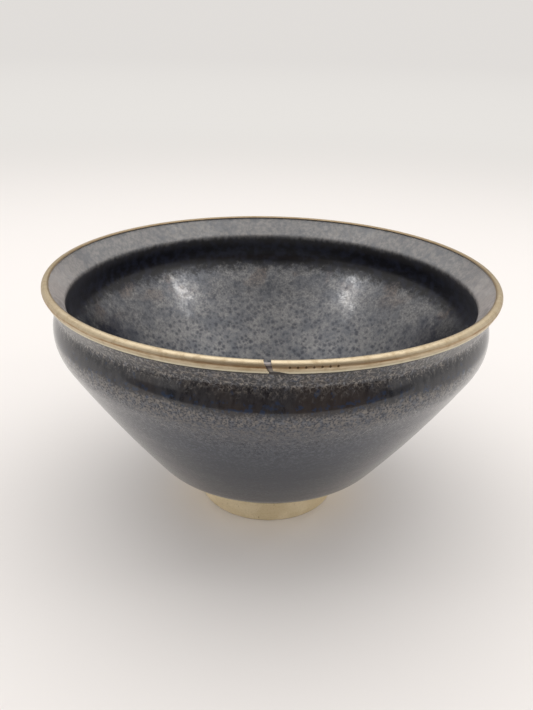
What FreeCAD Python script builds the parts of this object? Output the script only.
import FreeCAD, Part
import math
import os

# A tea bowl with a constricted mouth: turned stoneware, one coat of dark glaze, and a metal
# band crimped over the lip. Lengths are in millimetres and angles in degrees.
# The origin is on the table at the middle of the foot, +Z runs up the bowl's axis, and the
# open seam of the rim band faces -Y.

# Whole bowl
rim_radius = 62.5            # to the outermost line of the metal band
bowl_height = 70.9           # to the crest of the metal band

# Layers over the clay
coat = 0.4                   # glaze
bed = 0.15                   # lacquer between the glazed lip and the band
sheet = 0.35                 # metal of the band

# Foot ring and the recess under it, turned from the clay of the body
foot_radius = 20.3           # where the ring stands on the table
foot_height = 8.4            # up to where the underside of the bowl begins
foot_flare = 0.5             # the ring is this much wider at its top
foot_edge = 0.6              # rounding of the ring's outer lower edge
foot_ring_width = 4.3
foot_inner_edge = 0.4        # rounding of the ring's inner lower edge
foot_throat = 1.2            # rounding where the ring meets the underside
recess_depth = 3.4
recess_draft = 0.7           # the recess is this much narrower at its ceiling
recess_corner = 1.0
recess_crown = 0.5           # the ceiling's middle is this much lower, left by the turning tool

# Outside of the wall, in clay. Corners are given before they are rounded.
turn_under_radius = 33.7     # where the wall turns under towards the foot
turn_under_height = 16.0
turn_under_rounding = 11.0
wall_bow = 1.35              # how far the wall's middle corner stands out of a straight line
shoulder_inset = 1.25        # inside the rim's outermost line
shoulder_drop = 14.2         # below the crest of the rim
shoulder_rounding = 11.0
groove_drop = 6.2            # from the top of the clay lip down to the groove outside
groove_rounding = 2.6
flare_angle = 63.5           # lean of the neck between the groove and the lip, from level

# Lip, in clay
lip_rounding = 0.3

# Inside of the wall, in clay
lip_slope = 51.0             # lean of the inner slope between the lip and the ridge, from level
ridge_drop = 5.0             # from the top of the clay lip down to the ridge
ridge_rounding = 0.9
hollow_inset = 4.4           # the hollow under the ridge, inside the rim's outermost line
hollow_drop = 13.6
hollow_rounding = 7.0
inner_bow = 1.5
floor_radius = 22.7
floor_height = 10.5
floor_rounding = 32.0

# Lower edge of the glaze, which ran and stopped in a thick roll above the foot
glaze_line_radius = 27.0
roll_height = 0.9
roll_width = 1.5
roll_run = 2.4               # length over which the roll thins out to the plain coat
roll_rounding = 0.4          # of its leading edge
roll_blend = 3.0             # roundings where it thins out

# Rim band: a strip folded over the lip, its two ends not quite meeting
band_outer_flange = 1.2      # straight part of the fold down the outside
band_inner_reach = 42.0      # how far past its crest the fold goes down the inside
bed_setback = 0.25           # the lacquer stops short of the band's lower edge
bed_inner_reach = 36.0

# Seam of the band, seen from the front: x to the right of the seam's middle line
seam_left_top = -1.35        # left end of the strip at the crest
seam_right_top = 0.25        # right end at the crest
seam_left_foot = -0.25       # the left end is filed slanting, so it runs on further down
seam_right_step = 0.65       # the right end half way down
seam_step_drop = 1.75        # from the crest to where the right end is snipped
seam_snip_length = 2.7       # the long snip along the right end's lower edge
seam_bed_setback = 0.3       # the lacquer stops short of both ends
cut_overrun = 1.0            # how far a cutting solid passes what it cuts

cover = coat + bed + sheet
clay_lip_top = bowl_height - cover
lip_centre_radius = rim_radius - cover - lip_rounding
lip_centre_height = clay_lip_top - lip_rounding

# A drawn outline is a list of corners (radius, height, rounding). A rounding of None stands
# for an arc as large as its two sides leave room for.
bow_share = 0.96             # a corner with no size of its own takes this share of that room
shortest_edge = 0.001        # two arcs closer than this follow each other with no line between


def direction(start, end):
    run, rise = end[0] - start[0], end[1] - start[1]
    length = math.hypot(run, rise)
    return run / length, rise / length


def turn_at(before, corner, after):
    """Signed turn of the outline at a corner, in radians; positive turns to the left."""
    u, v = direction(before, corner), direction(corner, after)
    return math.atan2(u[0] * v[1] - u[1] * v[0], u[0] * v[0] + u[1] * v[1])


def tangent_lengths(corners):
    """How far from each corner its arc begins and ends."""
    sides = [math.dist(a[:2], b[:2]) for a, b in zip(corners, corners[1:])]
    inner = range(1, len(corners) - 1)
    wanted = [0.0] * len(corners)
    for i in inner:
        turn = turn_at(corners[i - 1], corners[i], corners[i + 1])
        wanted[i] = (corners[i][2] or 0.0) * math.tan(abs(turn) / 2)
    # two arcs that meet on one short side shrink together until they fit it
    fits = [min(1.0, side / max(wanted[i] + wanted[i + 1], side)) for i, side in enumerate(sides)]
    lengths = list(wanted)
    for i in inner:
        lengths[i] *= min(fits[i - 1], fits[i])
    for i in inner:
        if corners[i][2] is None:
            room = min(sides[i - 1] - lengths[i - 1], sides[i] - lengths[i + 1])
            lengths[i] = bow_share * room
    return lengths


def at(radius, height):
    return FreeCAD.Vector(radius, 0, height)


def line(start, end):
    return Part.LineSegment(at(*start[:2]), at(*end[:2])).toShape()


def arc(begin, middle, end):
    return Part.Arc(at(*begin[:2]), at(*middle[:2]), at(*end[:2])).toShape()


def rounded(corners):
    """Lines through the corners, joined by tangent arcs."""
    lengths = tangent_lengths(corners)
    edges = []
    last = corners[0]
    for i in range(1, len(corners) - 1):
        corner, tangent = corners[i], lengths[i]
        u, v = direction(corners[i - 1], corner), direction(corner, corners[i + 1])
        begin = (corner[0] - u[0] * tangent, corner[1] - u[1] * tangent)
        if math.dist(last[:2], begin) > shortest_edge:
            edges.append(line(last, begin))
        last = begin
        if tangent > 0:
            # the arc's middle lies on the line that halves the corner
            half = abs(turn_at(corners[i - 1], corner, corners[i + 1])) / 2
            inward = direction(u, v)
            reach = tangent * (1 / math.cos(half) - 1) / math.tan(half)
            last = (corner[0] + v[0] * tangent, corner[1] + v[1] * tangent)
            edges.append(arc(begin, (corner[0] + inward[0] * reach, corner[1] + inward[1] * reach), last))
    edges.append(line(last, corners[-1]))
    return edges


def shifted(corners, outward):
    """The same outline moved to its right-hand side, its roundings grown or shrunk to suit."""
    moved = []
    for i, corner in enumerate(corners):
        before = direction(corners[i - 1], corner) if i > 0 else None
        after = direction(corner, corners[i + 1]) if i < len(corners) - 1 else None
        u, v = before or after, after or before
        normal = (u[1] + v[1], -u[0] - v[0])
        spread = normal[0] * u[1] - normal[1] * u[0]
        place = [corner[k] + outward * normal[k] / spread for k in (0, 1)]
        rounding = corner[2]
        if rounding and before and after:
            turn = turn_at(corners[i - 1], corner, corners[i + 1])
            rounding += math.copysign(outward, turn)
        moved.append((place[0], place[1], rounding))
    return moved


def bowed(lower, upper, bow):
    """A corner half way between two others, standing off the straight line to its right."""
    u = direction(lower, upper)
    return ((lower[0] + upper[0]) / 2 + u[1] * bow, (lower[1] + upper[1]) / 2 - u[0] * bow, None)


def turned(edges):
    """The solid of revolution of a closed outline."""
    face = Part.Face(Part.Wire(Part.__sortEdges__(edges)))
    return face.revolve(at(0, 0), FreeCAD.Vector(0, 0, 1), 360)


# Corners of the clay, from the foot up the outside, over the lip and down the inside
flare = math.radians(flare_angle)
slope = math.radians(lip_slope)
foot_top = (foot_radius + foot_flare, foot_height, foot_throat)
turn_under = (turn_under_radius, turn_under_height, turn_under_rounding)
shoulder = (rim_radius - shoulder_inset, bowl_height - shoulder_drop, shoulder_rounding)
lip_outside = (lip_centre_radius + lip_rounding / math.tan(flare / 2), clay_lip_top, lip_rounding)
lip_inside = (lip_centre_radius - lip_rounding * math.tan(slope / 2), clay_lip_top, lip_rounding)
groove = (lip_outside[0] - groove_drop / math.tan(flare), clay_lip_top - groove_drop, groove_rounding)
ridge = (lip_inside[0] - ridge_drop / math.tan(slope), clay_lip_top - ridge_drop, ridge_rounding)
hollow = (rim_radius - hollow_inset, bowl_height - hollow_drop, hollow_rounding)
floor = (floor_radius, floor_height, floor_rounding)
floor_middle = (0.0, floor_height, 0.0)


def wall_corners():
    outside = [turn_under, bowed(turn_under, shoulder, wall_bow), shoulder, groove]
    inside = [ridge, hollow, bowed(floor, hollow, inner_bow), floor, floor_middle]
    return outside + [lip_outside, lip_inside] + inside


def clay_body():
    """Thrown wall and turned foot, one piece of clay."""
    ring_inner = foot_radius - foot_ring_width
    recess_top = ring_inner - recess_draft
    foot = [(0.0, recess_depth - recess_crown, 0.0),
            (recess_top, recess_depth, recess_corner),
            (ring_inner, 0.0, foot_inner_edge),
            (foot_radius, 0.0, foot_edge),
            foot_top]
    outline = foot + wall_corners()
    return turned(rounded(outline) + [line(floor_middle, foot[0])])


def tenmoku_glaze():
    """One coat from the thick roll above the foot, over the lip and down to the floor."""
    u = direction(foot_top, turn_under)
    climb = (glaze_line_radius - foot_top[0]) / u[0]
    start = (glaze_line_radius, foot_top[1] + u[1] * climb, 0.0)

    def on_underside(run, height, rounding):
        return (start[0] + u[0] * run + u[1] * height, start[1] + u[1] * run - u[0] * height, rounding)

    clay_side = [start] + wall_corners()
    roll = [start,
            on_underside(0.0, roll_height, roll_rounding),
            on_underside(roll_width, roll_height, roll_blend),
            on_underside(roll_width + roll_run, coat, roll_blend)]
    outline = roll + shifted(clay_side, coat)[1:]
    return turned(rounded(outline) + rounded(clay_side) + [line(outline[-1], clay_side[-1])])


def lip_strip(near, far, flange, reach):
    """Ring folded over the lip between two distances from the clay."""
    outer_normal = flare - math.pi / 2
    inner_end = math.pi / 2 + math.radians(reach)
    down = (-math.cos(flare), -math.sin(flare))

    def on_lip(distance, angle):
        reach_out = lip_rounding + distance
        return (lip_centre_radius + reach_out * math.cos(angle),
                lip_centre_height + reach_out * math.sin(angle))

    def flange_end(distance):
        bend = on_lip(distance, outer_normal)
        return bend[0] + down[0] * flange, bend[1] + down[1] * flange

    def fold(distance):
        bend, crest, end = [on_lip(distance, a) for a in (outer_normal, math.pi / 2, inner_end)]
        return [line(flange_end(distance), bend), arc(bend, crest, end)]

    ends = [line(flange_end(near), flange_end(far)), line(on_lip(near, inner_end), on_lip(far, inner_end))]
    return turned(fold(near) + fold(far) + ends)


def seam_cut(grow):
    """Prism through the front of the rim, its outline drawn in x and height."""
    top = bowl_height + cut_overrun
    step = bowl_height - seam_step_drop
    low = bowl_height - cover - lip_rounding - band_outer_flange - cut_overrun
    snip = seam_right_step + seam_snip_length
    outline = [(seam_left_top - grow, top), (seam_right_top + grow, top),
               (seam_right_step + grow, step), (snip + grow, low), (seam_left_foot - grow, low)]
    front = -rim_radius - cut_overrun
    points = [FreeCAD.Vector(x, front, z) for x, z in outline + outline[:1]]
    depth = 2 * (cover + lip_rounding) + 2 * cut_overrun
    return Part.Face(Part.makePolygon(points)).extrude(FreeCAD.Vector(0, depth, 0))


def rim_band():
    """Open ring of sheet metal, crimped over the lip."""
    ring = lip_strip(coat + bed, cover, band_outer_flange, band_inner_reach)
    return ring.cut(seam_cut(0.0))


def rim_band_bedding():
    """Thin bed of lacquer that the band is set in, kept back from the band's edges."""
    ring = lip_strip(coat, coat + bed, band_outer_flange - bed_setback, bed_inner_reach)
    return ring.cut(seam_cut(seam_bed_setback))


def write(name, shape):
    solids = shape.Solids
    if not shape.isValid() or len(solids) != 1:
        raise ValueError(name + " is not one closed solid")
    solids[0].exportStep("parts/" + name + ".step")
    box = solids[0].BoundBox
    print(name, "volume", round(solids[0].Volume, 2), "height", round(box.ZMin, 2), round(box.ZMax, 2),
          "width", round(box.XLength, 2), "faces", len(solids[0].Faces))


os.makedirs("parts", exist_ok=True)
write("clay_body", clay_body())
write("tenmoku_glaze", tenmoku_glaze())
write("rim_band", rim_band())
write("rim_band_bedding", rim_band_bedding())
